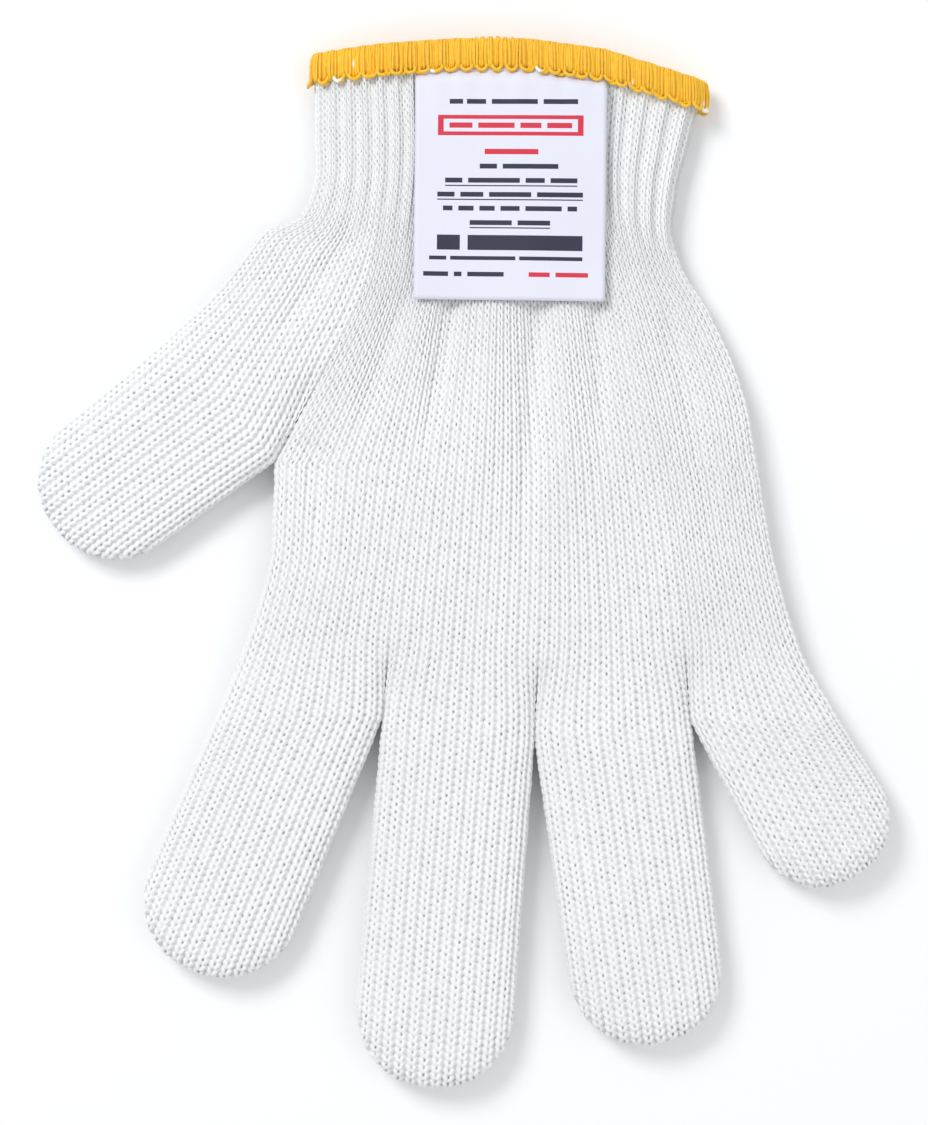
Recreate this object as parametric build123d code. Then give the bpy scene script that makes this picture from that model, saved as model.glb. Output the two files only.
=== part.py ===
"""A seamless knitted cut resistant glove, laid flat with its palm side up.

Millimetres. X runs across the hand towards the little finger, Y from the finger tips
towards the cuff, and Z up from the surface that the glove lies on. The origin is on that
surface, under the middle of the glove.

The knit is a closed tube of fabric with open cavities for the hand. It is divided where it
changes from one knitting stage to the next, and at the creases where it bends. Every crease
has its hinge line on the upper face, so a segment swings up and the gap opens underneath.
"""
import os
from collections import namedtuple
from math import acos, atan2, cos, hypot, pi, sin, tan

from build123d import *

# ---- driving dimensions -------------------------------------------------------------------
THICKNESS = 11.0          # two layers of knit and the air between them
WALL = 1.5                # one layer of knit
SIDE_ROUND = 5.0          # radius of the folded sides
CREASE_GAP = 0.3          # free space between two segments at a crease
OVERRUN = 8.0             # how far a segment is drawn past its crease before it is cut there

WRIST_CREASE = 55.7       # Y of the wrist crease, just below the free end of the label
RIB_START = 77.0          # Y where plain knit ends and ribbing begins
PALM_STAGE = 21.8         # Y where the thumb joins the four finger palm
KNUCKLE_FRONT = -34.3     # Y of the index and little finger creases
KNUCKLE_MIDDLE = -38.6    # Y of the middle and ring finger creases
STEP_INDEX = -18.0        # X where the knuckle line steps from index to middle finger
STEP_LITTLE = 49.2        # X where the knuckle line steps from ring to little finger

EDGE_HEIGHT = 6.2         # width of the overlocked edging
EDGE_THREAD = 0.9         # thickness of one layer of overlock thread
NEEDLE_THREAD = 0.7       # thickness of the needle thread
FABRIC_SETBACK = 0.9      # how far the raw edge of the fabric stays below the top of the edging
LAP_HEIGHT = 1.43         # how far the lap of the edging stands above the rest of it
LAP_START = -2.0          # X where the lap begins
LAP_LENGTH = 16.0
LAP_LOW = 0.6             # Z of the lap's two faces, on the lower layer
LAP_HIGH = 3.4

ELASTIC_WIDTH = 0.5       # covered elastic yarn, laid in the rib
ELASTIC_ROWS = 5
ELASTIC_PITCH = 3.6

LABEL_WIDTH = 42.2
LABEL_CENTRE_X = 10.3
LABEL_BOTTOM = 56.9       # Y of the free end
LABEL_TOP = 104.2         # Y of the sewn end
LABEL_THICKNESS = 0.3
LABEL_GAP = 0.3           # free space between the label and the knit under it

# A digit is drawn from two points on its root crease and a circle at its tip. Its bends are
# distances along the middle line, from the root crease to each further crease.
Digit = namedtuple("Digit", "outer inner tip radius bends")

DIGITS = {
    "index": Digit((-54.4, KNUCKLE_FRONT), (-18.4, KNUCKLE_FRONT), (-52.7, -73.2), 17.4, (22.0, 40.5)),
    "middle": Digit((-17.9, KNUCKLE_MIDDLE), (15.2, KNUCKLE_MIDDLE), (-6.3, -97.7), 17.2, (27.0, 51.0)),
    "ring": Digit((15.8, KNUCKLE_MIDDLE), (48.7, KNUCKLE_MIDDLE), (39.6, -88.8), 16.7, (24.5, 46.0)),
    "little": Digit((82.0, KNUCKLE_FRONT), (49.8, KNUCKLE_FRONT), (78.0, -55.9), 15.0, (15.0, 27.0)),
    "thumb": Digit((-64.7, 49.3), (-41.6, 22.7), (-76.2, 17.9), 16.8, (20.5,)),
}

CUFF_LEFT = -33.3         # X of the straight side of the cuff
CUFF_RIGHT_LOW = (45.3, 76.0)
CUFF_RIGHT_HIGH = (52.6, 104.4)
CUFF_REACH = 46.0         # how far the cuff's right side is drawn before the edge is cut
EDGE_LEFT_Y = 110.4       # top of the edging at its left end, its middle and its right end
EDGE_MIDDLE = (8.0, 113.2)
EDGE_RIGHT_Y = 104.4
EDGE_LEFT_FALL = 2.5      # how far the edge's line falls on each side, beyond the cuff
EDGE_RIGHT_FALL = 6.0
EDGE_REACH = 70.0         # X to which that line is drawn, on each side
THUMB_CUT_LOW = 12.0      # Y down to which the thumb's root crease cuts the hand
FAR = 130.0               # further out than any piece of the glove


# ---- plane geometry -----------------------------------------------------------------------
def along(start, end, distance):
    """The point at a distance from start, on the line towards end."""
    length = hypot(end[0] - start[0], end[1] - start[1])
    share = distance / length
    return (start[0] + (end[0] - start[0]) * share, start[1] + (end[1] - start[1]) * share)


def tangent_point(point, centre, radius, side):
    """Where a line from the point touches a circle, on its side 1 or -1."""
    dx = point[0] - centre[0]
    dy = point[1] - centre[1]
    angle = atan2(dy, dx) + side * acos(radius / hypot(dx, dy))
    return (centre[0] + radius * cos(angle), centre[1] + radius * sin(angle))


def touch_points(digit):
    """The tangent points of a digit's outer and inner sides on its tip circle."""
    cross = ((digit.inner[0] - digit.outer[0]) * (digit.tip[1] - digit.outer[1])
             - (digit.inner[1] - digit.outer[1]) * (digit.tip[0] - digit.outer[0]))
    side = -1 if cross < 0 else 1
    outer = tangent_point(digit.outer, digit.tip, digit.radius, -side)
    inner = tangent_point(digit.inner, digit.tip, digit.radius, side)
    return outer, inner


def middle_line(digit):
    """The root point of a digit's middle line, and its unit direction towards the tip."""
    root = ((digit.outer[0] + digit.inner[0]) / 2, (digit.outer[1] + digit.inner[1]) / 2)
    length = hypot(digit.tip[0] - root[0], digit.tip[1] - root[1])
    return root, ((digit.tip[0] - root[0]) / length, (digit.tip[1] - root[1]) / length)


# ---- outlines -----------------------------------------------------------------------------
def digit_outline(digit):
    """One finger or thumb, drawn past its root crease."""
    outer, inner = touch_points(digit)
    root_outer = along(digit.outer, outer, -OVERRUN)
    root_inner = along(digit.inner, inner, -OVERRUN)
    direction = middle_line(digit)[1]
    tip = (digit.tip[0] + digit.radius * direction[0], digit.tip[1] + digit.radius * direction[1])
    with BuildSketch() as sketch:
        with BuildLine():
            Polyline(outer, root_outer, root_inner, inner)
            ThreePointArc(inner, tip, outer)
        make_face()
    return sketch.sketch


def hand_outline():
    """Palm and cuff, with a stub of the thumb, drawn past the knuckles and the cuff's edge."""
    thumb = DIGITS["thumb"]
    thumb_outer, thumb_inner = touch_points(thumb)
    index = DIGITS["index"]
    little = DIGITS["little"]
    corners = [
        along(CUFF_RIGHT_LOW, CUFF_RIGHT_HIGH, CUFF_REACH),
        (CUFF_LEFT, EDGE_LEFT_Y + OVERRUN + WALL),
        (CUFF_LEFT, 78.6),
        (-44.6, 72.4),
        along(thumb.outer, thumb_outer, -14.0),
        along(thumb.outer, thumb_outer, OVERRUN),
        along(thumb.inner, thumb_inner, OVERRUN),
        along(thumb.inner, thumb_inner, -2.5),
        (-42.3, -1.0),
        along(index.outer, touch_points(index)[0], OVERRUN),
        along(little.outer, touch_points(little)[0], OVERRUN),
        (71.0, -13.5),
        (63.2, 31.5),
        (56.0, 51.5),
        CUFF_RIGHT_LOW,
    ]
    radii = [0, 0, 6.0, 7.5, 20.0, 0, 0, 2.6, 40.0, 0, 0, 60.0, 40.0, 40.0, 9.0]
    return corners, radii


def inset_corners(corners, radii, inset):
    """The corners and radii of the outline that lies inside another by the same amount."""
    count = len(corners)
    moved = []
    new_radii = []
    for number in range(count):
        before = corners[number - 1]
        corner = corners[number]
        after = corners[(number + 1) % count]
        turn = corner_turn(before, corner, after)
        heading = atan2(corner[1] - before[1], corner[0] - before[0])
        side = heading + pi / 2
        slide = inset * tan(turn / 2)
        moved.append((corner[0] + inset * cos(side) - slide * cos(heading),
                      corner[1] + inset * sin(side) - slide * sin(heading)))
        change = -inset if turn > 0 else inset
        new_radii.append(radii[number] + change if radii[number] > 0 else 0)
    return moved, new_radii


def corner_turn(before, corner, after):
    """The angle that a path turns through at a corner, in radians, positive to the left."""
    first = atan2(corner[1] - before[1], corner[0] - before[0])
    second = atan2(after[1] - corner[1], after[0] - corner[0])
    return (second - first + pi) % (2 * pi) - pi


def rounded_face(corners, radii):
    """A face inside straight runs, with an arc in place of each corner that has a radius."""
    starts = []
    ends = []
    with BuildSketch() as sketch:
        with BuildLine():
            for number, (corner, radius) in enumerate(zip(corners, radii)):
                before = corners[number - 1]
                after = corners[(number + 1) % len(corners)]
                turn = corner_turn(before, corner, after)
                reach = radius * abs(tan(turn / 2))
                starts.append(along(corner, before, reach))
                ends.append(along(corner, after, reach))
                if radius > 0:
                    depth = radius * (1 / cos(turn / 2) - 1)
                    chord = ((starts[-1][0] + ends[-1][0]) / 2, (starts[-1][1] + ends[-1][1]) / 2)
                    ThreePointArc(starts[-1], along(corner, chord, depth), ends[-1])
            for number in range(len(corners)):
                Line(ends[number - 1], starts[number])
        make_face()
    return sketch.sketch


# ---- flat tubes ---------------------------------------------------------------------------
def rounded_slab(face, inset, is_cut_end):
    """The flat body over a face, set in from both layers, with its sides rounded."""
    body = extrude(face, THICKNESS - 2 * inset).moved(Location((0, 0, inset)))
    flats = body.faces().sort_by(Axis.Z)
    rims = [edge for edge in flats[0].edges() + flats[-1].edges() if not is_cut_end(edge.center())]
    return fillet(rims, SIDE_ROUND - inset)


def hand_slab(inset):
    """Palm and cuff as a solid body, set in by the same amount on every side."""
    corners, radii = inset_corners(*hand_outline(), inset)
    plain = [number for number in range(len(corners)) if radii[number] == 0 and radii[number - 1] == 0]
    centres = [((corners[number - 1][0] + corners[number][0]) / 2,
                (corners[number - 1][1] + corners[number][1]) / 2) for number in plain]
    return rounded_slab(rounded_face(corners, radii), inset,
                        lambda point: any(hypot(point.X - x, point.Y - y) < 0.01 for x, y in centres))


def hand_shell(outside=0.0, inside=WALL):
    """A layer of the palm and cuff between two insets."""
    return hand_slab(outside) - hand_slab(inside)


def digit_shell(digit):
    """The knit of one finger or thumb, closed at the tip."""
    outline = digit_outline(digit)
    lining = offset(outline, amount=-WALL, kind=Kind.INTERSECTION)
    return rounded_slab(outline, 0, lambda point: False) - rounded_slab(lining, WALL, lambda point: False)


def half_space(point, direction, reach=400.0):
    """Everything on the far side of an upright plane through the point."""
    plane = Plane(origin=(point[0], point[1], 0), x_dir=(0, 0, 1), z_dir=(direction[0], direction[1], 0))
    return extrude(plane * Rectangle(reach, reach), reach)


def between(point, direction, start, end):
    """The part of space from start to end along a direction, or beyond start if end is None."""
    first = (point[0] + direction[0] * start, point[1] + direction[1] * start)
    space = half_space(first, direction)
    if end is None:
        return space
    last = (point[0] + direction[0] * end, point[1] + direction[1] * end)
    return space - half_space(last, direction)


def block(x_low, x_high, y_low, y_high, z_low=-1.0, z_high=THICKNESS + 1.0):
    """A box from its lowest and highest corners."""
    size = (x_high - x_low, y_high - y_low, z_high - z_low)
    centre = ((x_low + x_high) / 2, (y_low + y_high) / 2, (z_low + z_high) / 2)
    return Box(*size).moved(Location(centre))


def edge_band(top_drop, bottom_drop):
    """The space between two copies of the cuff's bowed edge, each lowered by its drop."""
    side = EDGE_REACH
    left_y = EDGE_LEFT_Y
    right_y = EDGE_RIGHT_Y
    low_left = left_y - EDGE_LEFT_FALL
    low_right = right_y - EDGE_RIGHT_FALL
    middle = EDGE_MIDDLE
    with BuildSketch() as sketch:
        with BuildLine():
            ThreePointArc((CUFF_LEFT, left_y - top_drop), (middle[0], middle[1] - top_drop),
                          (CUFF_RIGHT_HIGH[0], right_y - top_drop))
            Line((CUFF_RIGHT_HIGH[0], right_y - top_drop), (side, low_right - top_drop))
            Line((side, low_right - top_drop), (side, low_right - bottom_drop))
            Line((side, low_right - bottom_drop), (CUFF_RIGHT_HIGH[0], right_y - bottom_drop))
            ThreePointArc((CUFF_RIGHT_HIGH[0], right_y - bottom_drop),
                          (middle[0], middle[1] - bottom_drop), (CUFF_LEFT, left_y - bottom_drop))
            Line((CUFF_LEFT, left_y - bottom_drop), (-side, low_left - bottom_drop))
            Line((-side, low_left - bottom_drop), (-side, low_left - top_drop))
            Line((-side, low_left - top_drop), (CUFF_LEFT, left_y - top_drop))
        make_face()
    return extrude(sketch.sketch, THICKNESS + 4.0).moved(Location((0, 0, -2.0)))


# ---- pieces -------------------------------------------------------------------------------
def digit_pieces(name, digit):
    """A digit's knit, cut at its creases into base, middle and tip, or base and tip."""
    tube = digit_shell(digit)
    root, direction = middle_line(digit)
    crease = (digit.inner[1] - digit.outer[1], digit.outer[0] - digit.inner[0])
    length = hypot(*crease)
    across = (crease[0] / length, crease[1] / length)
    if across[0] * direction[0] + across[1] * direction[1] < 0:
        across = (-across[0], -across[1])
    ahead = (root[0] + across[0], root[1] + across[1])
    rest = tube & half_space(along(root, ahead, CREASE_GAP / 2), across)
    names = ["base", "middle", "tip"] if len(digit.bends) == 2 else ["base", "tip"]
    starts = [None] + list(digit.bends)
    ends = list(digit.bends) + [None]
    pieces = {}
    for part_name, start, end in zip(names, starts, ends):
        low = -2 * OVERRUN if start is None else start + CREASE_GAP / 2
        high = None if end is None else end - CREASE_GAP / 2
        pieces[f"{name}_{part_name}_knit"] = rest & between(root, direction, low, high)
    return pieces


def hand_pieces():
    """The palm in its two knitting stages, the wrist, and the ribbed cuff with its inlaid yarn."""
    tube = hand_shell()
    thumb = DIGITS["thumb"]
    gap = CREASE_GAP / 2
    thumb_cut = along(middle_line(thumb)[0], thumb.tip, -gap)
    palm = tube & block(-FAR, FAR, -FAR, WRIST_CREASE - gap)
    thumb_side = block(-FAR, thumb.inner[0] - gap, THUMB_CUT_LOW, WRIST_CREASE)
    palm -= half_space(thumb_cut, thumb_normal()) & thumb_side
    palm -= block(-FAR, STEP_INDEX, -FAR, KNUCKLE_FRONT + gap)
    palm -= block(STEP_INDEX, STEP_LITTLE, -FAR, KNUCKLE_MIDDLE + gap)
    palm -= block(STEP_LITTLE, FAR, -FAR, KNUCKLE_FRONT + gap)

    below_needle = edge_band(EDGE_HEIGHT, CUFF_REACH + EDGE_HEIGHT)
    tongue = hand_shell(EDGE_THREAD, EDGE_THREAD + WALL)
    needle = hand_shell(0.0, NEEDLE_THREAD) & edge_band(EDGE_HEIGHT, EDGE_HEIGHT + NEEDLE_THREAD)
    rib = (tube & below_needle) - needle + (tongue & edge_band(FABRIC_SETBACK, EDGE_HEIGHT))
    rib &= block(-FAR, FAR, RIB_START, FAR)
    yarns = None
    yarn_layer = hand_shell(0.5, 0.5 + ELASTIC_WIDTH)
    for row in range(ELASTIC_ROWS):
        low = RIB_START + 1.5 + row * ELASTIC_PITCH
        ring = yarn_layer & block(-FAR, FAR, low, low + ELASTIC_WIDTH)
        yarns = ring if yarns is None else yarns + ring
    return {
        "four_finger_palm_knit": palm & block(-FAR, FAR, -FAR, PALM_STAGE),
        "five_finger_palm_knit": palm & block(-FAR, FAR, PALM_STAGE, WRIST_CREASE),
        "wrist_knit": tube & block(-FAR, FAR, WRIST_CREASE + gap, RIB_START),
        "cuff_rib_knit": rib - yarns,
        "cuff_elastic_yarns": yarns,
        "overlock_needle_thread": needle,
        "overlock_upper_looper_thread": upper_looper(),
        "overlock_lower_looper_thread": lower_looper(),
        "overlock_lap": overlock_lap(),
    }


def thumb_normal():
    """The unit direction across the thumb's root crease, away from the palm."""
    thumb = DIGITS["thumb"]
    dx = thumb.inner[0] - thumb.outer[0]
    dy = thumb.inner[1] - thumb.outer[1]
    length = hypot(dx, dy)
    return (dy / length, -dx / length)


def upper_looper():
    """The thread layer on the outside of the edging, closed over the raw edge."""
    sides = hand_shell(0.0, EDGE_THREAD) & edge_band(0.0, EDGE_HEIGHT)
    over = hand_shell(EDGE_THREAD, EDGE_THREAD + WALL) & edge_band(0.0, FABRIC_SETBACK)
    return sides + over


def lower_looper():
    """The thread layer on the inside of the edging."""
    inner = EDGE_THREAD + WALL
    return hand_shell(inner, inner + EDGE_THREAD) & edge_band(0.0, EDGE_HEIGHT)


def overlock_lap():
    """The short stretch where the end of the edging is sewn over its start, on the lower layer."""
    stretch = block(LAP_START, LAP_START + LAP_LENGTH, RIB_START, FAR, LAP_LOW, LAP_HIGH)
    return edge_band(-LAP_HEIGHT, 0.0) & stretch


def label():
    """The sewn-in label, free on three sides."""
    low = THICKNESS + LABEL_GAP
    half = LABEL_WIDTH / 2
    return block(LABEL_CENTRE_X - half, LABEL_CENTRE_X + half, LABEL_BOTTOM, LABEL_TOP, low,
                 low + LABEL_THICKNESS)


def main():
    """Builds every piece and writes it to its own file."""
    os.makedirs("parts", exist_ok=True)
    pieces = hand_pieces()
    for name, digit in DIGITS.items():
        pieces.update(digit_pieces(name, digit))
    pieces["label"] = label()
    for name, piece in pieces.items():
        export_step(piece, f"parts/{name}.step")


main()
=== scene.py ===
"""Looks of a seamless knitted glove: the stitches, the overlocked edge and the sewn-in label.

The knit is modelled as relief on five strips of stitch columns, one for each digit, which run
from the cuff down into the finger tips. A row of stitches is called a course and a column of
them a wale. Metres in the scene, millimetres in the lists below.
"""

import bmesh
import bpy
import numpy as np
from math import radians
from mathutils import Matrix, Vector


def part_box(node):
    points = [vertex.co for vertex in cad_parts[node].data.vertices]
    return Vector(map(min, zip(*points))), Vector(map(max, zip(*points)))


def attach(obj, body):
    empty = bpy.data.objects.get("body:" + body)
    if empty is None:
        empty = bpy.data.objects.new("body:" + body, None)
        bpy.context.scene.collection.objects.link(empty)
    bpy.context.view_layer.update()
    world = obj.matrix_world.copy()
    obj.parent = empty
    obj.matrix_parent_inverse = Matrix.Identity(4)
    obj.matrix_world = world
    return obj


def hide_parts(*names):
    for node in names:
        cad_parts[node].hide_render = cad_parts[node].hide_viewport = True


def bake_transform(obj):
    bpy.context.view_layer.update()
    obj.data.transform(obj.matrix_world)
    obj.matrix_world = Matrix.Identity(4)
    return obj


bl_info = {
    "name": "Knitted Cut Resistant Glove",
    "version": (1, 0, 0),
    "blender": (4, 5, 0),
    "location": "View3D > Sidebar > Glove",
    "description": "Builds the knit, the overlocked edge and the label of a knitted glove",
    "category": "Add Mesh",
}

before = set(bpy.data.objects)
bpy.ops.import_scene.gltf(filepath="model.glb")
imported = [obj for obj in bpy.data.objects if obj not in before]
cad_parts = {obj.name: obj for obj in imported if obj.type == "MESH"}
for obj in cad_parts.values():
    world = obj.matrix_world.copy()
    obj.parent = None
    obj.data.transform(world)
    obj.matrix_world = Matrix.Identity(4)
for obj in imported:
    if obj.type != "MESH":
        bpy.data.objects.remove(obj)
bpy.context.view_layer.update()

MM = 0.001
COLUMNS = 8                 # grid columns for each wale
ROWS = 4                    # grid rows for each course
WALES = 14                  # wales across one face of a digit
THUMB_COURSE = 52           # course at which the thumb leaves the palm
CROTCH_COURSE = 84          # course at which the fingers part
WRIST_COURSES = (24, 37)    # courses between which the wrist piece lies
KNUCKLE_COURSE = 76         # course at which the palm piece hands over to the fingers
FLOOR_GAP = 0.45            # mean height of the lower layer of knit over the floor
CLEARANCE = 0.02            # least height of any stitch or thread over the floor
WALL = 0.75                 # depth of the lining under the middle of the knit
COURSE_PITCH = 1.65         # length of one course on the fingers and the thumb
DIGIT_HEIGHT = 9.6          # height of the flat tube of a finger or the thumb
TIP_ROUNDING = 6.0          # length over which a tip's height runs out
TIP_POWER = 2.6             # power of the curve in which it does so
RIB_WALES = 3.0             # wales from one rib of the cuff to the next
LEG_REACH = 0.205           # half breadth of one leg of a stitch, in wales
WARP_THREADS, WEFT_THREADS = 110, 140    # threads of the label across and along
PIT_WIDTH = 0.13            # half width of a pinhole, in wales
PIT_LENGTH = 0.26           # half length of a pinhole, in courses
TURN = 2 * np.pi
BASE_CUT = 0.62             # share of a digit's first segment at which its base piece ends
ROOT_START = 1.2            # distance from a digit's root at which the span along its creases starts
BEND_REACH = 7.5            # distance past the last crease at which that span ends
ROW_GAP = 0.3               # distance of the span's ends from the row where two pieces meet

# The overlocked edge. Heights are measured along y from the mouth's line.
ALONG = np.array([0.0, 1.0, 0.0])
LOOP_PITCH = 2.05           # distance from one overlock stitch to the next
STRANDS = 5                 # strands laid side by side in one stitch
STRAND_SIDES = 5            # sides of a strand's cross section
EDGE_DEPTH = 1.25           # half thickness of the wrapped edge
CROWN = 1.1                 # rise of the threads over the mouth's line
OUTSIDE_DROP = 5.3          # how far the loops run down the outside of the cuff
INSIDE_DROP = 4.6           # how far they run down its inside
NEAR_MOUTH = 0.8            # distance over which the mouth's direction is taken
LAP = (-1.5, 14.0)          # x between which the overlocking runs over its own start
LAP_STEP = 0.62             # distance from one of its turns to the next
MOUTH_ENDS = (-22.0, 44.0)  # x beyond which the white yarn shows through more often
SPECK_SHARES = (0.12, 0.012)    # share of strands with a white speck there and elsewhere
SPECK = 0.9                 # radius of a speck

# The label, in metres.
LABEL_RISE = 0.0056         # how far it runs up under the edging from its sewn line
LABEL_TUCK = (-0.0078, -0.0060)     # distances from the mouth between which it dips under
LABEL_OVER_KNIT = 0.0003    # gap between the label and the knit under it
LABEL_IN_EDGING = 0.0007    # its height over the mouth's line under the edging
LABEL_THICKNESS = 0.00022

# Lines between the strips of stitch columns: course, x, y.
THUMB_SIDE = [(0, -32.6, 110.2), (10.5, -32.4, 94.8), (19.5, -33.0, 81.5), (24, -36.2, 75.8),
              (29.5, -43.4, 72.6), (35, -48.2, 66.6), (42, -54.6, 58.8), (52, -64.7, 49.3)]
THUMB_INDEX = [(0, -17.8, 112.0), (18, -17.6, 81.0), (30, -21.5, 60.5), (42, -32.0, 39.0),
               (52, -41.3, 22.3)]
INDEX_SIDE = [(52, -41.3, 22.3), (58, -41.6, 11.5), (63, -42.2, 1.5), (70, -45.6, -11.5),
              (77, -50.0, -23.6), (84, -54.6, -34.4)]
INDEX_MIDDLE = [(0, -1.8, 113.0), (18, -2.0, 82.0), (34, -6.0, 54.0), (52, -11.5, 21.5),
                (68, -15.3, -7.0), (84, -17.7, -33.4)]
MIDDLE_RING = [(0, 14.0, 113.0), (18, 13.6, 82.0), (34, 14.6, 54.0), (52, 16.6, 20.5),
               (68, 16.6, -9.0), (84, 15.4, -37.8)]
RING_LITTLE = [(0, 30.5, 110.8), (18, 29.8, 80.0), (34, 35.6, 53.0), (52, 42.5, 21.0),
               (68, 46.8, -7.0), (84, 49.5, -34.4)]
LITTLE_SIDE = [(0, 52.2, 104.4), (9, 48.6, 91.5), (16, 45.9, 80.0), (20, 45.3, 73.2),
               (26, 47.9, 63.8), (32, 53.2, 55.3), (42, 60.8, 37.8), (52, 64.2, 20.3),
               (60, 66.4, 7.0), (68, 69.6, -7.0), (76, 74.4, -21.0), (84, 82.0, -34.3)]

# Tip circle of each digit, x, y, radius, and its creases as distances from the root crease.
TIPS = {
    "index": (-52.7, -73.2, 17.4, (22.0, 40.5)),
    "middle": (-6.3, -97.7, 17.2, (27.0, 51.0)),
    "ring": (39.6, -88.8, 16.7, (24.5, 46.0)),
    "little": (78.0, -55.9, 15.0, (15.0, 27.0)),
    "thumb": (-76.2, 17.9, 16.8, (20.5,)),
}
FINGERS = ("index", "middle", "ring", "little")

# Soft folds of the upper layer: start x, y, end x, y, height, breadth.
FOLDS = [
    (-2.5, 60.0, -8.5, 24.0, -2.4, 2.3), (-13.0, 60.0, -24.0, 24.0, -1.6, 2.8),
    (15.6, 60.0, 13.2, 2.0, -2.5, 2.7), (6.5, 58.0, 3.0, 12.0, 1.3, 3.6),
    (28.3, 60.0, 30.5, 22.0, -1.9, 2.2), (22.0, 58.0, 22.5, 2.0, 1.2, 3.4),
    (41.0, 68.0, 55.0, 8.0, -1.9, 2.5), (35.5, 60.0, 44.0, 12.0, 1.1, 3.2),
    (-24.0, 72.0, -44.0, 46.0, -1.5, 2.6), (-33.5, 26.0, -31.0, -2.0, -1.2, 2.6),
    (-39.0, 30.0, -30.0, 44.0, -1.0, 2.2),
]


# ---- numbers into shapes --------------------------------------------------------------------
def through(points, courses):
    """Smooth plan positions at the given courses, through points of course, x and y."""
    table = np.array(points, float)
    knots = table[:, 0]
    slopes = np.gradient(table[:, 1:], knots, axis=0)
    index = np.clip(np.searchsorted(knots, courses, side="right") - 1, 0, len(knots) - 2)
    span = (knots[index + 1] - knots[index])[:, None]
    t = (courses[:, None] - knots[index][:, None]) / span
    start = table[index, 1:]
    end = table[index + 1, 1:]
    return ((2 * t**3 - 3 * t**2 + 1) * start + (t**3 - 2 * t**2 + t) * span * slopes[index]
            + (3 * t**2 - 2 * t**3) * end + (t**3 - t**2) * span * slopes[index + 1])


def smooth(value, low, high):
    """0 before low, 1 after high, and an even rise between them."""
    t = np.clip((np.asarray(value, float) - low) / (high - low), 0, 1)
    return t * t * (3 - 2 * t)


def flat_section(share, half_width, half_height, power=2.7):
    """Where stitches sit on one face of a flat tube: across from -1 to 1, and up from 0 to 1."""
    angle = np.linspace(0, np.pi, 181)
    across = -np.sign(np.cos(angle)) * np.abs(np.cos(angle)) ** (2 / power)
    up = np.sin(angle) ** (2 / power)
    steps = np.hypot(np.diff(across) * half_width, np.diff(up) * half_height)
    length = np.concatenate([[0], np.cumsum(steps)])
    where = np.asarray(share) * length[-1]
    return np.interp(where, length, across), np.interp(where, length, up)


def thickness(course):
    """The height of the flat tube at a course of the hand, in millimetres."""
    return 9.7 + 1.9 * smooth(course, 30, 50) - 1.7 * smooth(course, 66, 84)


def fold_height(x, y):
    """How far the upper layer is raised or sunk by its soft folds."""
    total = np.zeros_like(x)
    for x0, y0, x1, y1, height, breadth in FOLDS:
        dx, dy = x1 - x0, y1 - y0
        along = ((x - x0) * dx + (y - y0) * dy) / (dx * dx + dy * dy)
        aside = np.hypot(x - x0 - along * dx, y - y0 - along * dy)
        fade = smooth(along, -0.12, 0.12) * (1 - smooth(along, 0.55, 1.1))
        total += height * fade * np.exp(-(aside / breadth) ** 2)
    total += 0.22 * np.sin(x * 0.21 + y * 0.05 + 1.3) * np.sin(y * 0.13 - x * 0.04)
    return total


def stitch(wale, course, ribbing=0.0):
    """The relief of plain knit: two slanting legs of yarn for each stitch, with pits between."""
    u = wale % 1.0
    v = (course + 0.12 * np.sin(np.floor(wale) * 2.4)) % 1.0
    near = 0.195 + 0.20 * v
    left = np.clip(1 - ((u - near) / LEG_REACH) ** 2, 0, 1) ** 0.6
    right = np.clip(1 - ((u - 1 + near) / LEG_REACH) ** 2, 0, 1) ** 0.6
    bead = 0.66 + 0.34 * np.sin(np.pi * np.clip(v * 1.05, 0, 1))
    relief = np.maximum(left, right) * bead * 0.62 - 0.36
    wander = 0.05 * np.sin(wale * 1.7 + course * 0.9) + 0.04 * np.sin(course * 2.3 - wale * 0.6)
    rib = 0.72 * np.cos(TURN * (wale - 1.5) / RIB_WALES) - 0.2
    return relief * (1 - 0.15 * ribbing) + wander + rib * ribbing


def closed_round(front, back):
    """Rows of a front face, carried on by the back face from right to left."""
    return np.concatenate([front, back[:, ::-1][:, 1:-1]], axis=1)


def tube_normals(points):
    """Outward directions on a tube, given as rows of points that close on themselves."""
    around = np.roll(points, -1, 1) - np.roll(points, 1, 1)
    down = np.gradient(points, axis=0)
    normal = np.cross(down, around)
    length = np.linalg.norm(normal, axis=2, keepdims=True)
    fallback = np.array([0.0, 0.0, 1.0])
    return np.where(length > 1e-9, normal / np.maximum(length, 1e-9), fallback)


# ---- the knit -------------------------------------------------------------------------------
class Tube:
    """A tube of knit as rows of points: front face from left to right, then back face."""

    def __init__(self, front, back, wale, course, ribbing):
        points = closed_round(front, back)
        wales = closed_round(wale, 2 * wale.max() + 3.5 - wale)
        courses = closed_round(course, course)
        ribs = closed_round(ribbing, ribbing)
        normals = tube_normals(points)
        self.points = points + normals * stitch(wales, courses, ribs)[:, :, None]
        self.points[:, :, 2] = np.maximum(self.points[:, :, 2], CLEARANCE)
        self.lining = points - normals * WALL
        self.wales = wales
        self.courses = courses
        self.width = front.shape[1] - 1


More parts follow.
